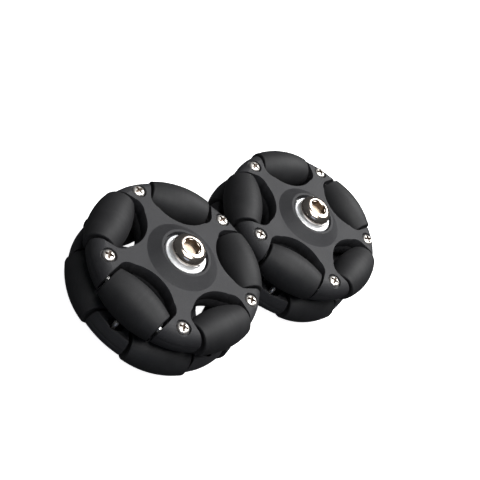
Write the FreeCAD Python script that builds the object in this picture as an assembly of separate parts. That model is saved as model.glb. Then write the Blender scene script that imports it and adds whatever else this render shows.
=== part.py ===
import FreeCAD, Part
import math
import os

V = FreeCAD.Vector
Z_AXIS = V(0, 0, 1)

# ---- driving dimensions, mm ----
wheel_radius = 29.0
arms_per_row = 5
row_step = 360.0 / arms_per_row
half_step = row_step / 2
wheel_spacing = 58.4
wheel_phase = {"a": 18.75, "b": 37.1}

# rows of rollers
row_offset = 6.2
axle_circle_radius = 22.7
roller_half_length = 9.5
core_half_length = 9.7
core_radius = 2.3
core_bore_radius = 1.05
pin_radius = 1.0
pin_half_length = 12.4
pin_hole_radius = 1.02
pin_hole_end_gap = 0.1

# moulded half housings
face_height = 10.6
lip_height = 13.0
seat_height = 11.4
arm_inner_height = 2.2
hub_core_radius = 12.5
cone_base_radius = 11.6
lip_outer_radius = 8.2
lip_edge_width = 0.15
lip_edge_height = 0.1
recess_radius = 7.3
rim_radius = 27.9
rim_low_radius = 27.0
rim_low_chamfer = 0.3
rim_face_radius = 24.9
rim_shoulder = (27.02, 9.3)

# roller pockets, in the frame of one pocket: u radial, t tangential
pocket_inner_u = 12.6
pocket_half_width = 10.4
pocket_arc_t = 7.6
pocket_arc_u = 15.5
pocket_corner_u = 16.75
pocket_corner_t = 9.45
pocket_side_u = 18.7
pocket_outer_u = 32.0

# cover screws
screw_circle_radius = 24.3
screw_head_radius = 1.9
screw_head_bottom = 9.6
screw_head_side = 0.45
screw_head_top = 10.8
screw_head_bulge = (1.425, 0.915)
screw_shank_radius = 0.9
screw_tip_height = 1.3
screw_tip_chamfer = (0.3, 0.4)
screw_hole_radius = 1.1
screw_pilot_radius = 0.92
counterbore_radius = 2.45
relief_radius = 2.7
relief_height = 4.6
cross_width = 0.45
cross_length = 2.1
cross_depth = 0.8

# hexagon coupler
hex_across_flats = 12.0
hex_hole_clearance = 0.05
coupler_rear = -12.6
coupler_front = 11.35
coupler_end_radius = 6.75
coupler_envelope_radius = 7.05
coupler_chamfer = 0.35
shaft_bore_radius = 3.0
shaft_bore_depth = 12.0
thread_hole_radius = 3.0
thread_hole_depth = 10.0

# hub fasteners
flat_washer_radius = 6.6
flat_washer_hole = 3.2
flat_washer_thickness = 1.2
flat_washer_shift = (-0.11, -0.16)
lock_washer_radius = 5.55
lock_washer_hole = 3.1
lock_washer_thickness = 1.2
lock_washer_gap = 0.7
lock_washer_gap_slant = 20.0
lock_washer_gap_turn = 250.0
hub_head_radius = 5.25
hub_head_side = 0.7
hub_head_height = 2.7
hub_head_ring_radius = 3.4
hub_head_bulge = (4.55, 2.0)
hub_socket_across_flats = 5.0
hub_socket_depth = 1.8
hub_socket_turn = 12.0
hub_socket_lead_in = (2.6, 3.0, 0.35)
hub_shank_radius = 2.95
hub_shank_end = 3.5
hub_shank_chamfer = 0.5

# how far a cutter runs past the face it opens
overrun = 1.0


def revolved(edges):
    """Solid of revolution about Z from a closed profile in the XZ plane."""
    face = Part.Face(Part.Wire(edges))
    return face.revolve(V(0, 0, 0), Z_AXIS, 360)


def rz(radius, height):
    return V(radius, 0, height)


def polyline(points):
    return [Part.makeLine(a, b) for a, b in zip(points[:-1], points[1:])]


def arc(a, b, c):
    return Part.Arc(a, b, c).toShape()


def cylinder(radius, low, high, x=0.0, y=0.0):
    return Part.makeCylinder(radius, high - low, V(x, y, low))


def hexagon(across_flats, low, high):
    corner = across_flats / math.sqrt(3)
    points = []
    for i in range(7):
        angle = math.radians(60 * i)
        points.append(V(corner * math.cos(angle), corner * math.sin(angle), low))
    return Part.Face(Part.makePolygon(points)).extrude(V(0, 0, high - low))


def turned(shape, angle):
    copy = shape.copy()
    copy.rotate(V(0, 0, 0), Z_AXIS, angle)
    return copy


def flipped(shape):
    """The same piece on the rear side: turned over about Y, which steps five arms by half a pitch
    and leaves the hexagon hole in line."""
    copy = shape.copy()
    copy.rotate(V(0, 0, 0), V(0, 1, 0), 180)
    return copy


def ring(shape, start=0.0):
    """Copies of a shape, one for each arm or, from half a step, one for each pocket."""
    return [turned(shape, start + i * row_step) for i in range(arms_per_row)]


def pocket():
    """Cutter for one roller pocket, centred on +X."""
    side = pocket_half_width
    inner = arc(V(pocket_arc_u, -pocket_arc_t, 0), V(pocket_inner_u, 0, 0), V(pocket_arc_u, pocket_arc_t, 0))
    low = arc(V(pocket_side_u, -side, 0), V(pocket_corner_u, -pocket_corner_t, 0),
              V(pocket_arc_u, -pocket_arc_t, 0))
    high = arc(V(pocket_arc_u, pocket_arc_t, 0), V(pocket_corner_u, pocket_corner_t, 0),
               V(pocket_side_u, side, 0))
    outside = polyline([V(pocket_side_u, side, 0), V(pocket_outer_u, side, 0), V(pocket_outer_u, -side, 0),
                        V(pocket_side_u, -side, 0)])
    face = Part.Face(Part.Wire([low, inner, high] + outside))
    return face.extrude(V(0, 0, lip_height))


def housing_blank():
    """Hub, cone and full disc of one half housing before the pockets are cut."""
    low_z = arm_inner_height + rim_low_chamfer
    low = rz(rim_low_radius, low_z)
    widest = rz(rim_radius, row_offset)
    bulge_radius = ((rim_radius - rim_low_radius) ** 2 + (row_offset - low_z) ** 2) / (
        2 * (rim_radius - rim_low_radius))
    half_way = (row_offset - low_z) / 2
    between = rz(rim_radius - bulge_radius + math.sqrt(bulge_radius ** 2 - half_way ** 2), row_offset - half_way)
    edges = polyline([rz(0, 0), rz(hub_core_radius, 0), rz(hub_core_radius, arm_inner_height),
                      rz(rim_low_radius - rim_low_chamfer, arm_inner_height), low])
    edges.append(arc(low, between, widest))
    edges.append(arc(widest, rz(*rim_shoulder), rz(rim_face_radius, face_height)))
    edges += polyline([rz(rim_face_radius, face_height), rz(cone_base_radius, face_height),
                       rz(lip_outer_radius, lip_height - lip_edge_height),
                       rz(lip_outer_radius - lip_edge_width, lip_height),
                       rz(recess_radius, lip_height), rz(recess_radius, seat_height),
                       rz(0, seat_height), rz(0, 0)])
    return revolved(edges)


def pin(radius, half_length):
    """Cylinder lying along the axle of the pocket on +X."""
    return Part.makeCylinder(radius, 2 * half_length, V(axle_circle_radius, -half_length, row_offset), V(0, 1, 0))


def half_housing():
    body = housing_blank()
    cutters = ring(pocket(), half_step)
    cutters += ring(pin(pin_hole_radius, pin_half_length + pin_hole_end_gap), half_step)
    cutters += ring(cylinder(counterbore_radius, screw_head_bottom, lip_height, screw_circle_radius))
    cutters += ring(cylinder(screw_hole_radius, row_offset, lip_height, screw_circle_radius))
    cutters += ring(cylinder(screw_pilot_radius, 0, lip_height, screw_circle_radius))
    cutters += ring(cylinder(relief_radius, 0, relief_height, screw_circle_radius))
    cutters.append(hexagon(hex_across_flats + 2 * hex_hole_clearance, -overrun, lip_height))
    return body.cut(cutters)


def cover_and_frame():
    """The half housing, split on the plane of the axles."""
    body = half_housing()
    above = cylinder(wheel_radius, row_offset, lip_height + overrun)
    below = cylinder(wheel_radius, -overrun, row_offset)
    return body.common(above), body.common(below)


def cover_screw():
    crown = rz(0, screw_head_top)
    side_top = screw_head_bottom + screw_head_side
    tip_width, tip_length = screw_tip_chamfer
    edges = polyline([rz(0, screw_tip_height), rz(screw_shank_radius - tip_width, screw_tip_height),
                      rz(screw_shank_radius, screw_tip_height + tip_length),
                      rz(screw_shank_radius, screw_head_bottom), rz(screw_head_radius, screw_head_bottom),
                      rz(screw_head_radius, side_top)])
    bulge = rz(screw_head_bulge[0], screw_head_bottom + screw_head_bulge[1])
    edges.append(arc(rz(screw_head_radius, side_top), bulge, crown))
    edges += polyline([crown, rz(0, screw_tip_height)])
    body = revolved(edges)
    corner = V(-cross_length / 2, -cross_width / 2, screw_head_top - cross_depth)
    slot = Part.makeBox(cross_length, cross_width, cross_depth + overrun, corner)
    body = body.cut([slot, turned(slot, 90)])
    body.translate(V(screw_circle_radius, 0, 0))
    return body


def roller_tyre():
    """Barrel whose outer line is an arc of the wheel circle."""
    half = roller_half_length
    end_radius = math.sqrt(wheel_radius ** 2 - half ** 2) - axle_circle_radius
    mid_radius = wheel_radius - axle_circle_radius
    edges = [arc(rz(end_radius, -half), rz(mid_radius, 0), rz(end_radius, half))]
    edges += polyline([rz(end_radius, half), rz(core_radius, half), rz(core_radius, -half), rz(end_radius, -half)])
    return revolved(edges)


def roller_core():
    tube = cylinder(core_radius, -core_half_length, core_half_length)
    return tube.cut(cylinder(core_bore_radius, -core_half_length - overrun, core_half_length + overrun))


def on_axle(shape):
    """A turned roller piece laid on the axle of the pocket on +X."""
    copy = shape.copy()
    copy.rotate(V(0, 0, 0), V(1, 0, 0), -90)
    copy.translate(V(axle_circle_radius, 0, row_offset))
    return copy


def hex_coupler():
    body = hexagon(hex_across_flats, coupler_rear, coupler_front)
    envelope = revolved(polyline([
        rz(0, coupler_rear), rz(coupler_end_radius, coupler_rear),
        rz(coupler_envelope_radius, coupler_rear + coupler_chamfer),
        rz(coupler_envelope_radius, coupler_front - coupler_chamfer),
        rz(coupler_end_radius, coupler_front), rz(0, coupler_front), rz(0, coupler_rear)]))
    body = body.common(envelope)
    bore = cylinder(shaft_bore_radius, coupler_rear - overrun, coupler_rear + shaft_bore_depth)
    thread = cylinder(thread_hole_radius, coupler_front - thread_hole_depth, coupler_front + overrun)
    return body.cut([bore, thread])


def washer(radius, hole, low, thickness):
    return cylinder(radius, low, low + thickness).cut(cylinder(hole, low - overrun, low + thickness + overrun))


def lock_washer(low):
    """Ring with a slanted cut through one side."""
    body = washer(lock_washer_radius, lock_washer_hole, low, lock_washer_thickness)
    gap = Part.makeBox(lock_washer_radius, lock_washer_gap, lock_washer_thickness + 2 * overrun,
                       V(overrun, -lock_washer_gap / 2, low - overrun))
    gap.rotate(V(0, 0, low), V(1, 0, 0), lock_washer_gap_slant)
    return turned(body.cut(gap), lock_washer_gap_turn)


def hub_screw(low):
    top = low + hub_head_height
    side_top = low + hub_head_side
    edges = polyline([rz(0, hub_shank_end), rz(hub_shank_radius - hub_shank_chamfer, hub_shank_end),
                      rz(hub_shank_radius, hub_shank_end + hub_shank_chamfer), rz(hub_shank_radius, low),
                      rz(hub_head_radius, low), rz(hub_head_radius, side_top)])
    bulge = rz(hub_head_bulge[0], low + hub_head_bulge[1])
    edges.append(arc(rz(hub_head_radius, side_top), bulge, rz(hub_head_ring_radius, top)))
    edges += polyline([rz(hub_head_ring_radius, top), rz(0, top), rz(0, hub_shank_end)])
    body = revolved(edges)
    socket = hexagon(hub_socket_across_flats, top - hub_socket_depth, top + overrun)
    inner, outer, depth = hub_socket_lead_in
    lead_in = revolved(polyline([rz(0, top - depth), rz(inner, top - depth), rz(outer, top),
                                 rz(outer, top + overrun), rz(0, top + overrun), rz(0, top - depth)]))
    return body.cut([turned(socket, hub_socket_turn), lead_in])


def wheel():
    """Every piece of one wheel about its own centre, axis along Z, hub screw up."""
    parts = {}
    cover, frame = cover_and_frame()
    parts["front_cover"] = cover
    parts["front_frame"] = frame
    parts["rear_frame"] = flipped(frame)
    parts["rear_cover"] = flipped(cover)

    pins = ring(pin(pin_radius, pin_half_length), half_step)
    parts["axle_pins"] = Part.makeCompound(pins + [flipped(p) for p in pins])
    screws = ring(cover_screw())
    parts["cover_screws"] = Part.makeCompound(screws + [flipped(s) for s in screws])

    washer_top = seat_height + flat_washer_thickness
    lock_top = washer_top + lock_washer_thickness
    parts["hex_coupler"] = hex_coupler()
    flat = washer(flat_washer_radius, flat_washer_hole, seat_height, flat_washer_thickness)
    flat.translate(V(flat_washer_shift[0], flat_washer_shift[1], 0))
    parts["flat_washer"] = flat
    parts["lock_washer"] = lock_washer(washer_top)
    parts["hub_screw"] = hub_screw(lock_top)

    tyre = on_axle(roller_tyre())
    core = on_axle(roller_core())
    for name, piece in (("tyre", tyre), ("core", core)):
        for i, copy in enumerate(ring(piece, half_step)):
            parts["roller_f%d_%s" % (i + 1, name)] = copy
            parts["roller_r%d_%s" % (i + 1, name)] = flipped(copy)
    return parts


os.makedirs("parts", exist_ok=True)
pieces = wheel()
for side, x in (("a", -wheel_spacing / 2), ("b", wheel_spacing / 2)):
    for name, piece in pieces.items():
        shape = turned(piece, wheel_phase[side])
        shape.translate(V(x, 0, lip_height))
        shape.exportStep("parts/wheel_%s_%s.step" % (side, name))
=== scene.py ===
import math

import bmesh
import bpy
from mathutils import Matrix, Vector


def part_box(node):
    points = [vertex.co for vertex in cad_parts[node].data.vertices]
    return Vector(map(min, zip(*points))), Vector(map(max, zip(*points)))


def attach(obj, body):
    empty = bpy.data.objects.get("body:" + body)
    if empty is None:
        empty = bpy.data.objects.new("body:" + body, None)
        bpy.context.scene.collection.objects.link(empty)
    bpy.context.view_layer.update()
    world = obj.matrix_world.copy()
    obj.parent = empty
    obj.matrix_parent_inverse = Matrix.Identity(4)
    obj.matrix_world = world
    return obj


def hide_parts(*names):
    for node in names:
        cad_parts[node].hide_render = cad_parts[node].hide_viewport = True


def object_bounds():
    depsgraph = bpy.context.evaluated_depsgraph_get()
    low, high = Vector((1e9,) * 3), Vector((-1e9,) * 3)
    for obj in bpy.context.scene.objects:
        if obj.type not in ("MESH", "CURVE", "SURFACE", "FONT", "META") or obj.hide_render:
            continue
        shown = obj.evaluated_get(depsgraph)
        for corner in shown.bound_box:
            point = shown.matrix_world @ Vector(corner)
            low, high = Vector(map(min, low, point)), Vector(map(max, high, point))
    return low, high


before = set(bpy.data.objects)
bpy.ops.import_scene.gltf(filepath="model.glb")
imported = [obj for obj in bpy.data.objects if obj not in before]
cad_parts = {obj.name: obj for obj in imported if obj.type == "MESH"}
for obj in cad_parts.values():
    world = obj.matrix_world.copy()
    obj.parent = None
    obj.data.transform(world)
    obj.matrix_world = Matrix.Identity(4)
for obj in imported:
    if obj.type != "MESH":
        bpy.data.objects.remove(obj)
cad_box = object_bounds()

MM = 0.001
WHEELS = ("a", "b")
ROWS = "fr"  # front and rear
PER_ROW = 5  # rollers, and cover screws, in one row
ROW_STEP = math.radians(72)
OWN_AXES = "own_axes"  # mesh attribute: a point's place in its piece's own frame, in metres

# Sizes of the small pieces, in millimetres
TYRE = {"circle": 28.98, "axle": 22.7, "half": 9.5, "bore": 2.3}
CORE = {"half": 9.7, "radius": 2.3, "bore": 1.05, "boss_step": 0.45, "boss_height": 0.35}
PIN = {"radius": 1.0, "half": 12.4, "ease": 0.25}
SCREW = {"circle": 24.3, "head": 1.9, "bottom": 9.6, "top": 10.8, "side": 0.42,
         "root": 0.68, "shank": 0.9, "pitch": 0.7, "tip": 1.3}
CROSS = {"depth": 0.85, "reach": 1.66, "foot_reach": 0.8, "width": 0.42, "foot_width": 0.24,
         "middle": 0.8, "foot_middle": 0.55}
FLAT_WASHER = {"radius": 6.6, "hole": 3.2, "height": 1.2}
LOCK_WASHER = {"radius": 5.55, "hole": 3.1, "height": 1.2, "gap": 0.7, "slant": 0.12, "turn": 250}
HUB_SCREW = {"head": 5.25, "side": 0.7, "height": 2.7, "ring": 3.15, "socket": 5.0, "depth": 1.8,
             "turn": 12, "root": 2.5, "shank": 2.95, "pitch": 1.0, "tip": 3.5}
COUPLER = {"across_flats": 12.0, "bore": 3.0, "front_depth": 10.0, "rear_depth": 12.0, "lead_in": 0.35,
           "chamfer_start": 6.75, "chamfer_slope": 0.35 / 0.3}
CUT_CLEAR = 0.1  # how far a cutter stands out of the face it cuts

# How far each cross recess is turned from its arm's line, in degrees, screw by screw
CROSS_TURNS = {"a": (12, 63, 80, 8, 79), "b": (2, 40, 47, 15, 30)}


# ---------------------------------------------------------------- mesh helpers

def scale(bm, factor):
    bmesh.ops.scale(bm, vec=(factor, factor, factor), verts=bm.verts)


def smooth(mesh, sharp):
    """Smooth shading where faces meet at less than that angle in degrees."""
    mesh.shade_smooth()
    mesh.set_sharp_from_angle(angle=math.radians(sharp))


def new_object(name, bm, sharp=35):
    """Object in metres from a bmesh in millimetres, which is used up."""
    scale(bm, MM)
    bmesh.ops.recalc_face_normals(bm, faces=bm.faces)
    mesh = bpy.data.meshes.new(name)
    bm.to_mesh(mesh)
    bm.free()
    smooth(mesh, sharp)
    obj = bpy.data.objects.new(name, mesh)
    bpy.context.scene.collection.objects.link(obj)
    return obj


def rounded(corners, steps=4):
    """Closed outline through (radius, height, rounding) corners, each corner eased by that distance."""
    points = []
    count = len(corners)
    most = 0.49  # of a side's length, so that two eased corners don't meet
    for i, (r, z, ease) in enumerate(corners):
        corner = Vector((r, z))
        if ease <= 0:
            points.append(corner)
            continue
        before = Vector(corners[i - 1][:2]) - corner
        after = Vector(corners[(i + 1) % count][:2]) - corner
        start = corner + before.normalized() * min(ease, most * before.length)
        end = corner + after.normalized() * min(ease, most * after.length)
        for k in range(steps + 1):
            t = k / steps
            points.append((1 - t) ** 2 * start + 2 * t * (1 - t) * corner + t ** 2 * end)
    return points


def turned(outline, segments=96):
    """Solid of revolution about Z of a closed outline of (radius, height) points."""
    bm = bmesh.new()
    rings = []
    on_axis = 1e-5
    for r, z in outline:
        if r < on_axis:
            rings.append([bm.verts.new((0, 0, z))])
            continue
        angles = (2 * math.pi * k / segments for k in range(segments))
        rings.append([bm.verts.new((r * math.cos(a), r * math.sin(a), z)) for a in angles])
    for low, high in zip(rings, rings[1:] + rings[:1]):
        if len(low) == 1 and len(high) == 1:
            continue
        for k in range(segments):
            n = (k + 1) % segments
            if len(low) == 1:
                bm.faces.new((low[0], high[n], high[k]))
            elif len(high) == 1:
                bm.faces.new((low[k], low[n], high[0]))
            else:
                bm.faces.new((low[k], low[n], high[n], high[k]))
    return bm


def threaded(screw, high):
    """A screw's thread from its tip up to high, closed at both ends and narrowing towards the tip."""
    root, crest, pitch, low = screw["root"], screw["shank"], screw["pitch"], screw["tip"]
    segments = 36
    rows_per_pitch = 8
    end_share, grown_share = 0.55, 0.45  # of the radius at the tip, and what the taper adds
    taper = 1.2 * pitch
    bm = bmesh.new()
    rows = int((high - low) / pitch * rows_per_pitch)
    rings = []
    for j in range(rows + 1):
        z = low + (high - low) * j / rows
        share = min(1.0, end_share + grown_share * (z - low) / taper)
        ring = []
        for k in range(segments):
            turn = k / segments
            wave = abs(2 * ((z / pitch - turn) % 1.0) - 1)
            r = (root + (crest - root) * wave) * share
            angle = 2 * math.pi * turn
            ring.append(bm.verts.new((r * math.cos(angle), r * math.sin(angle), z)))
        rings.append(ring)
    for a, b in zip(rings[:-1], rings[1:]):
        for k in range(segments):
            n = (k + 1) % segments
            bm.faces.new((a[k], a[n], b[n], b[k]))
    bm.faces.new(rings[0][::-1])
    bm.faces.new(rings[-1])
    return bm


def prism(points_low, points_high):
    """Solid between two outlines with the same number of 3-D points."""
    bm = bmesh.new()
    low = [bm.verts.new(p) for p in points_low]
    high = [bm.verts.new(p) for p in points_high]
    bm.faces.new(low[::-1])
    bm.faces.new(high)
    for i in range(len(low)):
        n = (i + 1) % len(low)
        bm.faces.new((low[i], low[n], high[n], high[i]))
    return bm


def merge(bm, other, matrix=Matrix.Identity(4)):
    """Adds a copy of other, placed by matrix, to bm."""
    mesh = bpy.data.meshes.new("scratch")
    other.to_mesh(mesh)
    mesh.transform(matrix)
    bm.from_mesh(mesh)
    bpy.data.meshes.remove(mesh)


def polygon(count, radius, height, turn=0.0):
    """Corners of a level regular polygon round Z."""
    angles = (turn + 2 * math.pi * k / count for k in range(count))
    return [(radius * math.cos(a), radius * math.sin(a), height) for a in angles]


def cut(obj, cutters, painted_shade_material=None):
    """Subtracts closed meshes from obj. The new faces take the given recess material, if any, a darker
    material that paints the shade inside the hollow.
    """
    for bm in cutters:
        tool = new_object("cutter", bm)
        if painted_shade_material is not None:
            tool.data.materials.append(painted_shade_material)
        modifier = obj.modifiers.new("cut", "BOOLEAN")
        modifier.object = tool
        modifier.solver = "EXACT"
        modifier.material_mode = "TRANSFER" if painted_shade_material is not None else "INDEX"
        graph = bpy.context.evaluated_depsgraph_get()
        mesh = bpy.data.meshes.new_from_object(obj.evaluated_get(graph))
        obj.modifiers.clear()
        old = obj.data
        obj.data = mesh
        bpy.data.meshes.remove(old)
        bpy.data.objects.remove(tool)
    smooth(obj.data, 30)


def add_thread(obj, thread, sharp):
    """Adds a thread in millimetres to a screw's mesh."""
    bm = bmesh.new()
    bm.from_mesh(obj.data)
    scale(bm, 1 / MM)
    merge(bm, thread)
    thread.free()
    scale(bm, MM)
    bm.to_mesh(obj.data)
    bm.free()
    smooth(obj.data, sharp)


def soften(obj, width, segments, angle):
    """Rounds the edges of a piece that are sharper than that angle in degrees, width in millimetres."""
    bevel = obj.modifiers.new("edges", "BEVEL")
    bevel.width = width * MM
    bevel.segments = segments
    bevel.limit_method = "ANGLE"
    bevel.angle_limit = math.radians(angle)
    bevel.harden_normals = True
    bevel.use_clamp_overlap = True


# ------------------------------------------------------------------- materials

class Nodes:
    """One material's node tree. Its patterns follow a piece's own axes, or else the CAD frame's."""

    def __init__(self, name, own_axes=True):
        self.material = bpy.data.materials.new(name)
        self.material.use_nodes = True
        self.tree = self.material.node_tree
        self.shader = self.tree.nodes["Principled BSDF"]
        if own_axes:
            attribute = self.tree.nodes.new("ShaderNodeAttribute")
            attribute.attribute_name = OWN_AXES
            self.place = attribute.outputs["Vector"]
        else:
            self.place = self.tree.nodes.new("ShaderNodeTexCoord").outputs["Object"]

    def set(self, **values):
        """Sets shader inputs by name, with _ for a space."""
        for key, value in values.items():
            self.shader.inputs[key.replace("_", " ")].default_value = value

    def link(self, out, socket):
        self.tree.links.new(out, socket)

    def noise(self, fineness, detail=3.0, rough=0.55, stretch=(1, 1, 1)):
        """Noise with features 1 / fineness metres across, denser along an axis with a larger stretch."""
        mapping = self.tree.nodes.new("ShaderNodeMapping")
        mapping.inputs["Scale"].default_value = stretch
        self.link(self.place, mapping.inputs["Vector"])
        node = self.tree.nodes.new("ShaderNodeTexNoise")
        node.inputs["Scale"].default_value = fineness
        node.inputs["Detail"].default_value = detail
        node.inputs["Roughness"].default_value = rough
        self.link(mapping.outputs["Vector"], node.inputs["Vector"])
        return node.outputs["Fac"]

    def cells(self, fineness):
        """Distance to the middle of the nearest of many cells, 1 / fineness metres across."""
        node = self.tree.nodes.new("ShaderNodeTexVoronoi")
        node.inputs["Scale"].default_value = fineness
        self.link(self.place, node.inputs["Vector"])
        return node.outputs["Distance"]

    def ramp(self, value, *stops):
        """Colour ramp through (position, colour) stops."""
        node = self.tree.nodes.new("ShaderNodeValToRGB")
        elements = node.color_ramp.elements
        while len(elements) < len(stops):
            elements.new(0.5)
        for element, (position, colour) in zip(elements, stops):
            element.position = position
            element.color = (*colour, 1)
        self.link(value, node.inputs["Fac"])
        return node.outputs["Color"]

    def spread(self, value, low, high, start=0.3, end=0.7):
        """value from start..end mapped to low..high."""
        node = self.tree.nodes.new("ShaderNodeMapRange")
        node.inputs["From Min"].default_value = start
        node.inputs["From Max"].default_value = end
        node.inputs["To Min"].default_value = low
        node.inputs["To Max"].default_value = high
        self.link(value, node.inputs["Value"])
        return node.outputs["Result"]

    def arithmetic(self, operation, a, b):
        """One step of arithmetic on the outputs a and b, where b may be a number."""
        node = self.tree.nodes.new("ShaderNodeMath")
        node.operation = operation
        self.link(a, node.inputs[0])
        if isinstance(b, (int, float)):
            node.inputs[1].default_value = b
        else:
            self.link(b, node.inputs[1])
        return node.outputs["Value"]

    def mix(self, factor, a, b):
        """Colour a where factor is 0 and b where it is 1."""
        node = self.tree.nodes.new("ShaderNodeMix")
        node.data_type = "RGBA"
        self.link(factor, node.inputs["Factor"])
        for value, socket in ((a, node.inputs[6]), (b, node.inputs[7])):
            if isinstance(value, tuple):
                socket.default_value = (*value, 1)
            else:
                self.link(value, socket)
        return node.outputs[2]

    def bump(self, height, depth, strength, onto=None):
        """Surface relief of that depth in millimetres, on top of another relief if onto is given."""
        node = self.tree.nodes.new("ShaderNodeBump")
        node.inputs["Distance"].default_value = depth * MM
        node.inputs["Strength"].default_value = strength
        self.link(height, node.inputs["Height"])
        if onto is not None:
            self.link(onto, node.inputs["Normal"])
        return node.outputs["Normal"]


def moulded_nylon(name, dark, light, roughness, own_axes=True):
    """Matte glass-filled nylon: spark-eroded grain, flow mottling and paler flecks."""
    n = Nodes(name, own_axes)
    mottle = n.noise(140, detail=5)
    grain = n.noise(5200, detail=2, rough=0.6)
    specks = n.cells(3600)
    tone = n.ramp(mottle, (0.3, dark), (0.72, light))
    fleck = n.spread(grain, 0.0, 0.34, 0.5, 0.78)
    fleck_colour = tuple(2.1 * c for c in light)
    n.link(n.mix(fleck, tone, fleck_colour), n.shader.inputs["Base Color"])
    n.link(n.spread(mottle, roughness - 0.05, roughness + 0.07), n.shader.inputs["Roughness"])
    fine = n.bump(grain, 0.035, 0.9)
    n.link(n.bump(specks, 0.03, 0.7, fine), n.shader.inputs["Normal"])
    n.set(Specular_IOR_Level=0.3)
    return n.material


def moulded_rubber(name):
    """Soft black rubber sleeve: satin, with faint scuffs round the axle and a dusty bloom."""
    dark, light, dusty = (0.0105, 0.0105, 0.0115), (0.0185, 0.0185, 0.0195), (0.03, 0.03, 0.031)
    n = Nodes(name)
    bloom = n.noise(95, detail=4)
    scuff = n.noise(420, detail=3, stretch=(0.35, 0.35, 3.0))
    grain = n.noise(3800, detail=2)
    tone = n.ramp(bloom, (0.3, dark), (0.75, light))
    dust = n.spread(scuff, 0.0, 0.22, 0.55, 0.8)
    n.link(n.mix(dust, tone, dusty), n.shader.inputs["Base Color"])
    n.link(n.spread(scuff, 0.55, 0.65), n.shader.inputs["Roughness"])
    fine = n.bump(grain, 0.012, 0.6)
    n.link(n.bump(scuff, 0.02, 0.35, fine), n.shader.inputs["Normal"])
    n.set(Specular_IOR_Level=0.3)
    return n.material


def metal(name, dark, light, rough_low, rough_high, grain=(1, 1, 1)):
    """Plated or drawn metal: tone drifts with the plating, fine scratches along the grain."""
    n = Nodes(name)
    drift = n.noise(260, detail=4)
    lines = n.noise(2400, detail=3, stretch=grain)
    n.link(n.ramp(drift, (0.3, dark), (0.7, light)), n.shader.inputs["Base Color"])
    n.link(n.spread(lines, rough_low, rough_high), n.shader.inputs["Roughness"])
    n.link(n.bump(lines, 0.006, 0.5), n.shader.inputs["Normal"])
    n.set(Metallic=1.0)
    return n.material


def turned_metal(name, dark, light, rough_low, rough_high, pitch, depth, metallic=1.0):
    """Metal with fine rings round Z, pitch and depth in millimetres, as on a washer or a turned face."""
    n = Nodes(name)
    split = n.tree.nodes.new("ShaderNodeSeparateXYZ")
    n.link(n.place, split.inputs["Vector"])
    x2 = n.arithmetic("MULTIPLY", split.outputs["X"], split.outputs["X"])
    y2 = n.arithmetic("MULTIPLY", split.outputs["Y"], split.outputs["Y"])
    radius = n.arithmetic("POWER", n.arithmetic("ADD", x2, y2), 0.5)
    wobble = n.spread(n.noise(700, detail=3), 0.0, 2.2)
    turns = n.arithmetic("MULTIPLY", radius, 2 * math.pi / (pitch * MM))
    phase = n.arithmetic("ADD", turns, wobble)
    rings = n.arithmetic("SINE", phase, 0.0)
    drift = n.noise(420, detail=4)
    n.link(n.ramp(drift, (0.32, dark), (0.68, light)), n.shader.inputs["Base Color"])
    n.link(n.spread(drift, rough_low, rough_high), n.shader.inputs["Roughness"])
    n.link(n.bump(rings, depth, 0.4), n.shader.inputs["Normal"])
    n.set(Metallic=metallic)
    return n.material


NYLON = moulded_nylon("nylon_housing", (0.020, 0.020, 0.022), (0.030, 0.030, 0.032), 0.6, own_axes=False)
RUBBER = moulded_rubber("roller_rubber")
CORE_PLASTIC = moulded_nylon("roller_core", (0.014, 0.014, 0.015), (0.022, 0.022, 0.023), 0.45)
AXLE_STEEL = metal("axle_steel", (0.62, 0.61, 0.60), (0.78, 0.77, 0.75), 0.16, 0.28, grain=(0.2, 0.2, 2.5))
NICKEL = metal("screw_nickel", (0.80, 0.77, 0.72), (0.93, 0.90, 0.85), 0.34, 0.48)
# painted shade: darker brown, rough metal for the cross recess faces, standing in for the shade inside
# them
RECESS_SHADE = metal("screw_recess_painted_shade", (0.14, 0.11, 0.09), (0.26, 0.21, 0.175), 0.5, 0.65)
# painted shade: darker brown copy of the hub screw's nickel for the socket faces, standing in for the
# shade inside the socket
SOCKET_SHADE = metal("hub_socket_painted_shade", (0.24, 0.18, 0.13), (0.40, 0.32, 0.25), 0.3, 0.45)
HUB_NICKEL = metal("hub_screw_nickel", (0.54, 0.47, 0.41), (0.70, 0.63, 0.56), 0.13, 0.22)
ZINC = turned_metal("washer_zinc", (0.86, 0.87, 0.88), (0.96, 0.97, 0.98), 0.36, 0.5,
                    pitch=0.16, depth=0.004, metallic=0.45)
SPRING_STEEL = turned_metal("lock_washer_steel", (0.52, 0.51, 0.50), (0.68, 0.67, 0.66), 0.3, 0.44,
                            pitch=0.12, depth=0.004, metallic=0.8)
COUPLER_STEEL = turned_metal("coupler_metal", (0.56, 0.55, 0.53), (0.72, 0.71, 0.69), 0.24, 0.38,
                             pitch=0.2, depth=0.006)


# ---------------------------------------------------------------------- places

def middle(node):
    """Middle of a CAD node's box."""
    low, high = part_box(node)
    return (low + high) / 2


def wheel_centre(wheel):
    """Centre of a wheel on its mid-plane."""
    _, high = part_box(f"wheel_{wheel}_front_cover")
    rear_low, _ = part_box(f"wheel_{wheel}_rear_cover")
    hub = middle(f"wheel_{wheel}_hex_coupler")
    return Vector((hub.x, hub.y, (high.z + rear_low.z) / 2))


def polar_angle(node, wheel):
    """Angle of a node about its wheel's axis."""
    out = middle(node) - wheel_centre(wheel)
    return math.atan2(out.y, out.x)


def on_axle(wheel, row, number):
    """Frame of one roller, its Z along the roller's axle."""
    node = f"wheel_{wheel}_roller_{row}{number}_core"
    turn = Matrix.Rotation(polar_angle(node, wheel), 4, "Z")
    return Matrix.Translation(middle(node)) @ turn @ Matrix.Rotation(math.pi / 2, 4, "X")


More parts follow.
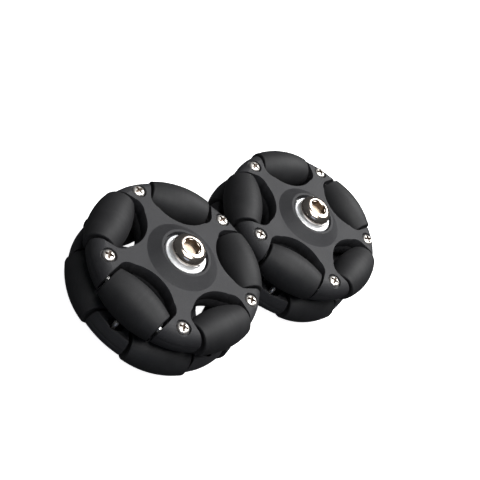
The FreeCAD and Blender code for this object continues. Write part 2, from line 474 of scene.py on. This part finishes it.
def settle(obj, place, body, slot, material, *nodes):
    """Places a piece's mesh and hands it to its body in place of CAD nodes. None keeps its materials."""
    own = obj.data.attributes.new(OWN_AXES, "FLOAT_VECTOR", "POINT")
    own.data.foreach_set("vector", [x for v in obj.data.vertices for x in v.co])
    obj.data.transform(place)
    if material is not None:
        obj.data.materials.clear()
        obj.data.materials.append(material)
    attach(obj, body)
    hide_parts(*nodes)


# ---------------------------------------------------------------------- pieces

def tyre_mesh():
    """Barrel sleeve with rounded ends and a shallow dish in each end face."""
    circle, axle, half = TYRE["circle"], TYRE["axle"], TYRE["half"]
    steps = 30
    round_end = 0.4  # length of the rounding at each end
    straight = half - round_end
    outline = []
    for k in range(steps + 1):
        z = -straight + 2 * straight * k / steps
        outline.append((math.sqrt(circle ** 2 - z * z) - axle, z))
    end = math.sqrt(circle ** 2 - straight ** 2) - axle
    turn = [(end - 0.05, half - 0.2), (end - 0.16, half - 0.07), (end - 0.34, half)]
    dish = [(end - 0.95, half), (end - 1.15, half - 0.12), (3.0, half - 0.16), (2.75, half - 0.05)]
    bore = [(TYRE["bore"] + 0.06, half - 0.02), (TYRE["bore"], half - 0.1)]
    side = turn + dish + bore
    outline += side + [(r, -z) for r, z in reversed(side)]
    return turned(outline)


def core_mesh():
    """Plastic tube with a bearing boss at each end."""
    half, radius, bore = CORE["half"], CORE["radius"], CORE["bore"]
    boss = radius - CORE["boss_step"]
    shoulder = half - CORE["boss_height"]
    corners = [(bore, -half, 0.1), (boss, -half, 0.12), (boss, -shoulder, 0.05), (radius, -shoulder, 0.1),
               (radius, shoulder, 0.1), (boss, shoulder, 0.05), (boss, half, 0.12), (bore, half, 0.1)]
    return turned(rounded(corners, 3), 64)


def pin_mesh():
    """Plain steel pin with eased ends."""
    radius, half, ease = PIN["radius"], PIN["half"], PIN["ease"]
    corners = [(0, -half, 0), (radius, -half, ease), (radius, half, ease), (0, half, 0)]
    return turned(rounded(corners, 3), 48)


def cross_recess(top):
    """Cutters for a cross recess: two tapered bars and a wider middle."""
    low, high = top - CROSS["depth"], top + CUT_CLEAR

    def bar(reach, width, height):
        """Corners of a bar's section at that height."""
        return [(-reach, -width, height), (reach, -width, height),
                (reach, width, height), (-reach, width, height)]

    cutters = []
    for turn in (0, math.pi / 2):
        spin = Matrix.Rotation(turn, 4, "Z")
        foot = [spin @ Vector(p) for p in bar(CROSS["foot_reach"], CROSS["foot_width"], low)]
        mouth = [spin @ Vector(p) for p in bar(CROSS["reach"], CROSS["width"], high)]
        cutters.append(prism(foot, mouth))
    foot = polygon(4, CROSS["foot_middle"], low, math.pi / 4)
    mouth = polygon(4, CROSS["middle"], high, math.pi / 4)
    cutters.append(prism(foot, mouth))
    return cutters


def cover_screw(name):
    """Pan-head screw with a tapered cross recess and a threaded end, standing on the row's mid-plane."""
    head, bottom, top = SCREW["head"], SCREW["bottom"], SCREW["top"]
    edge = bottom + SCREW["side"]
    crown = top - bottom - SCREW["side"]
    boxiness = 0.77  # 1 is an ellipse, less is boxier
    step = 7.5
    dome = []
    for k in range(1, 12):
        a = math.radians(90 - step * k)
        dome.append((head * math.sin(a) ** boxiness, edge + crown * math.cos(a) ** boxiness))
    rim = [(head - 0.12, bottom), (head - 0.03, bottom + 0.03), (head, bottom + 0.12), (head, edge)]
    obj = new_object(name, turned([(0, bottom)] + rim + dome + [(0, top)], 72), 40)
    obj.data.materials.append(NICKEL)
    # the recess faces get the darker material: painted shade inside the cross recess
    cut(obj, cross_recess(top), RECESS_SHADE)
    add_thread(obj, threaded(SCREW, bottom), 32)
    return obj


def hub_screw_object(name, low):
    """Button-head screw with a chamfered hexagon socket and its thread, head from low upwards."""
    top = low + HUB_SCREW["height"]
    head, ring = HUB_SCREW["head"], HUB_SCREW["ring"]
    shoulder = low + HUB_SCREW["side"]
    steps = 14
    dome = []
    for k in range(steps + 1):
        a = math.radians(90 * k / steps)
        dome.append((ring + (head - ring) * math.cos(a), shoulder + (top - shoulder) * math.sin(a)))
    rim = [(head - 0.2, low), (head - 0.05, low + 0.06), (head, low + 0.22)]
    chamfer = [(3.0, top), (2.95, top - 0.03), (2.62, top - 0.36)]
    outline = [(0, low)] + rim + dome + chamfer + [(0, top - 0.36)]
    obj = new_object(name, turned(outline, 128), 30)
    obj.data.materials.append(HUB_NICKEL)
    corner = HUB_SCREW["socket"] / math.sqrt(3)
    turn = math.radians(HUB_SCREW["turn"])
    socket = prism(polygon(6, corner, top - HUB_SCREW["depth"], turn), polygon(6, corner, top, turn))
    # the socket faces get the darker material: painted shade inside the hexagon socket
    cut(obj, [socket], SOCKET_SHADE)
    add_thread(obj, threaded(HUB_SCREW, low), 30)
    return obj


def flat_washer_mesh(low):
    """Stamped washer: rounded on its punched face, sharper below."""
    radius, hole, high = FLAT_WASHER["radius"], FLAT_WASHER["hole"], low + FLAT_WASHER["height"]
    corners = [(hole, low, 0.08), (radius, low, 0.08), (radius, high, 0.3), (hole, high, 0.2)]
    return turned(rounded(corners, 5), 128)


def lock_washer_mesh(low):
    """Split spring washer: one turn of a rounded bar with a slanting gap."""
    radius, hole, high = LOCK_WASHER["radius"], LOCK_WASHER["hole"], low + LOCK_WASHER["height"]
    outline = rounded([(hole, low, 0.12), (radius, low, 0.16), (radius, high, 0.22), (hole, high, 0.12)])
    half_gap = LOCK_WASHER["gap"] / (radius + hole)
    steps = 120
    bm = bmesh.new()
    rings = []
    for k in range(steps + 1):
        share = k / steps
        ring = []
        for r, z in outline:
            slant = LOCK_WASHER["slant"] * (z - low) / (high - low)
            angle = half_gap + (2 * math.pi - 2 * half_gap) * share + slant
            ring.append(bm.verts.new((r * math.cos(angle), r * math.sin(angle), z)))
        rings.append(ring)
    for a, b in zip(rings[:-1], rings[1:]):
        for i in range(len(outline)):
            n = (i + 1) % len(outline)
            bm.faces.new((a[i], a[n], b[n], b[i]))
    bm.faces.new(rings[0])
    bm.faces.new(rings[-1][::-1])
    return bm


def coupler_object(name, low, high):
    """Hexagon bar with chamfered ends, a shaft bore from the rear and a tapped hole from the front."""
    corner = COUPLER["across_flats"] / math.sqrt(3)
    obj = new_object(name, prism(polygon(6, corner, low), polygon(6, corner, high)), 20)
    obj.data.materials.append(COUPLER_STEEL)

    def chamfer(end, inwards):
        """Cutter for the corners at one end, where inwards is 1 or -1 along Z."""
        start, out, face = COUPLER["chamfer_start"], corner + 1.0, end - 0.01 * inwards
        drop = (out - start) * COUPLER["chamfer_slope"]
        return turned([(start, face), (out, face), (out, end + drop * inwards)])

    def hole(end, inwards, depth):
        """Cutter for a hole from one end, with a lead-in."""
        bore, lead, mouth = COUPLER["bore"], COUPLER["lead_in"], end - CUT_CLEAR * inwards
        return turned([(0, mouth), (bore + lead + CUT_CLEAR, mouth), (bore, end + lead * inwards),
                       (bore, end + depth * inwards), (0, end + depth * inwards)])

    cut(obj, [chamfer(high, -1), chamfer(low, 1), hole(low, 1, COUPLER["rear_depth"]),
              hole(high, -1, COUPLER["front_depth"])])
    return obj


def build_rollers(wheel, row):
    """Tyre and core of each roller in one row."""
    for number in range(1, PER_ROW + 1):
        node = f"wheel_{wheel}_roller_{row}{number}"
        body = f"roller_{wheel}_{row}{number}"
        spot = on_axle(wheel, row, number)
        tyre = new_object(f"{node}_sleeve", tyre_mesh())
        settle(tyre, spot, body, "roller_rubber", RUBBER, f"{node}_tyre")
        core = new_object(f"{node}_hub", core_mesh())
        settle(core, spot, body, "roller_core", CORE_PLASTIC, f"{node}_core")


def build_pins(wheel):
    """All ten axle pins of a wheel, as one piece."""
    bm = bmesh.new()
    single = pin_mesh()
    scale(single, MM)
    home = Matrix.Translation(-wheel_centre(wheel))
    for row in ROWS:
        for number in range(1, PER_ROW + 1):
            merge(bm, single, home @ on_axle(wheel, row, number))
    single.free()
    scale(bm, 1 / MM)
    pins = new_object(f"wheel_{wheel}_steel_pins", bm)
    settle(pins, Matrix.Translation(wheel_centre(wheel)), f"wheel_{wheel}", "axle_steel", AXLE_STEEL,
           f"wheel_{wheel}_axle_pins")


def build_cover_screws(wheel):
    """All ten cover screws of a wheel, as one piece: each lies midway between two rollers."""
    pattern = cover_screw("screw_pattern")
    bm = bmesh.new()
    centre = wheel_centre(wheel)
    for row in ROWS:
        start = polar_angle(f"wheel_{wheel}_roller_{row}1_core", wheel)
        for i in range(PER_ROW):
            angle = start + ROW_STEP * (i + 0.5)
            spot = Matrix.Rotation(angle, 4, "Z") @ Matrix.Translation((SCREW["circle"] * MM, 0, 0))
            if row == "r":
                spot = spot @ Matrix.Rotation(math.pi, 4, "X")
            spot = spot @ Matrix.Rotation(math.radians(CROSS_TURNS[wheel][i]), 4, "Z")
            mesh = pattern.data.copy()
            mesh.transform(spot)
            bm.from_mesh(mesh)
            bpy.data.meshes.remove(mesh)
    scale(bm, 1 / MM)
    screws = new_object(f"wheel_{wheel}_phillips_screws", bm, 32)
    screws.data.materials.append(NICKEL)
    # second material: the painted shade of the cross recesses
    screws.data.materials.append(RECESS_SHADE)
    bpy.data.objects.remove(pattern)
    settle(screws, Matrix.Translation(centre), f"wheel_{wheel}", "screw_nickel", None,
           f"wheel_{wheel}_cover_screws")
    soften(screws, 0.04, 1, 40)


def build_hub(wheel):
    """Coupler, two washers and hub screw, at the heights the CAD nodes have."""
    body = f"wheel_{wheel}"
    centre = wheel_centre(wheel)
    turn = polar_angle(f"wheel_{wheel}_roller_f1_core", wheel) - ROW_STEP / 2
    axis = Matrix.Translation(centre) @ Matrix.Rotation(turn, 4, "Z")

    def heights(node):
        """Lowest and highest point of a node above the wheel's mid-plane, in millimetres."""
        low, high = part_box(node)
        return (low.z - centre.z) / MM, (high.z - centre.z) / MM

    low, high = heights(f"wheel_{wheel}_hex_coupler")
    coupler = coupler_object(f"wheel_{wheel}_shaft_coupler", low, high)
    settle(coupler, axis, body, "coupler_metal", None, f"wheel_{wheel}_hex_coupler")
    soften(coupler, 0.12, 2, 25)

    low, _ = heights(f"wheel_{wheel}_flat_washer")
    flat = new_object(f"wheel_{wheel}_plain_washer", flat_washer_mesh(low))
    spot = middle(f"wheel_{wheel}_flat_washer")
    settle(flat, Matrix.Translation((spot.x, spot.y, centre.z)), body, "washer_zinc", ZINC,
           f"wheel_{wheel}_flat_washer")

    low, _ = heights(f"wheel_{wheel}_lock_washer")
    lock = new_object(f"wheel_{wheel}_spring_washer", lock_washer_mesh(low))
    gap_turn = Matrix.Rotation(math.radians(LOCK_WASHER["turn"]), 4, "Z")
    settle(lock, axis @ gap_turn, body, "washer_zinc", SPRING_STEEL, f"wheel_{wheel}_lock_washer")

    _, high = heights(f"wheel_{wheel}_hub_screw")
    screw = hub_screw_object(f"wheel_{wheel}_button_screw", high - HUB_SCREW["height"])
    settle(screw, axis, body, "screw_nickel", None, f"wheel_{wheel}_hub_screw")
    soften(screw, 0.06, 2, 28)


def finish_housings(wheel):
    """The moulded halves keep their CAD shape, with their edges eased."""
    for part in ("front_cover", "front_frame", "rear_frame", "rear_cover"):
        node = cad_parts[f"wheel_{wheel}_{part}"]
        node.data.materials.clear()
        node.data.materials.append(NYLON)
        weld = node.modifiers.new("weld", "WELD")  # joins the CAD mesh's faces, for the edges' sake
        weld.merge_threshold = 0.002 * MM
        soften(node, 0.14, 2, 32)


for wheel in WHEELS:
    finish_housings(wheel)
    for row in ROWS:
        build_rollers(wheel, row)
    build_pins(wheel)
    build_cover_screws(wheel)
    build_hub(wheel)


# ------------------------------------------------------------------------ stage

def area_light(name, direction, distance, size, power, colour=(1, 1, 1)):
    """Soft rectangular lamp in that direction from the wheels, facing their middle."""
    data = bpy.data.lights.new(name, "AREA")
    data.shape = "RECTANGLE"
    data.size, data.size_y = size
    data.energy = power
    data.color = colour
    lamp = bpy.data.objects.new(name, data)
    bpy.context.scene.collection.objects.link(lamp)
    away = Vector(direction).normalized()
    lamp.location = Vector((0, 0, 13)) * MM + away * distance
    lamp.rotation_mode = "QUATERNION"
    lamp.rotation_quaternion = away.to_track_quat("Z", "Y")


def build_floor():
    """Plain pale round floor, 2.4 m across, that sweeps up into a backdrop on every side."""
    flat, sweep, height, thick = 1200, 800, 4000, 10
    wall = flat + sweep
    steps = 16
    profile = [(0, 0), (flat, 0)]
    for k in range(1, steps + 1):
        a = math.radians(90 * k / steps)
        profile.append((flat + sweep * math.sin(a), sweep * (1 - math.cos(a))))
    profile += [(wall, height), (wall + thick, height), (wall + thick, -thick), (0, -thick)]
    floor = new_object("studio_floor", turned(profile))
    n = Nodes("studio_floor", own_axes=False)
    tone = n.ramp(n.noise(3, detail=2), (0.3, (0.86, 0.86, 0.86)), (0.7, (0.88, 0.88, 0.88)))
    n.link(tone, n.shader.inputs["Base Color"])
    n.set(Roughness=0.9, Specular_IOR_Level=0.1, Emission_Color=(1, 1, 1, 1), Emission_Strength=0.95)
    floor.visible_diffuse = False
    floor.visible_glossy = False
    floor.visible_shadow = False
    floor.data.materials.append(n.material)
    low, _ = cad_box
    floor.location = (0, 0, low.z)


def build_camera():
    """Camera above and beside the pair, rolled as the photograph is."""
    azimuth, elevation, roll = math.radians(-70.15), math.radians(40.72), math.radians(43.47)
    aim = Vector((6.88, 3.85, 13.0)) * MM
    distance = 344.6 * MM
    back = Vector((math.sin(azimuth) * math.cos(elevation), -math.cos(azimuth) * math.cos(elevation),
                   math.sin(elevation)))
    level = Vector((math.cos(azimuth), math.sin(azimuth), 0))
    rise = back.cross(level)
    right = math.cos(roll) * level + math.sin(roll) * rise
    up = back.cross(right)
    data = bpy.data.cameras.new("camera")
    data.sensor_width = 36
    data.lens = 80.74
    data.clip_start, data.clip_end = 0.01, 50
    camera = bpy.data.objects.new("camera", data)
    bpy.context.scene.collection.objects.link(camera)
    axes = Matrix((right, up, back)).transposed().to_4x4()
    camera.matrix_world = Matrix.Translation(aim + back * distance) @ axes
    bpy.context.scene.camera = camera


def build_lights():
    """Two large soft lamps above, a weak cool one low at the side, and a little light all round."""
    world = bpy.data.worlds.new("studio")
    world.use_nodes = True
    background = world.node_tree.nodes["Background"]
    background.inputs["Color"].default_value = (0.93, 0.96, 1.0, 1)
    background.inputs["Strength"].default_value = 0.08
    bpy.context.scene.world = world
    area_light("key", (0.7, 0.05, 0.71), 0.7, (0.42, 0.42), 4.8)
    area_light("top", (-0.15, -0.2, 0.97), 0.7, (0.45, 0.45), 5.2)
    area_light("fill", (-0.6, -0.6, 0.3), 0.9, (0.5, 0.3), 0.4, (0.6, 0.72, 1.0))


bpy.context.scene.view_settings.view_transform = "Standard"
build_floor()
build_camera()
build_lights()
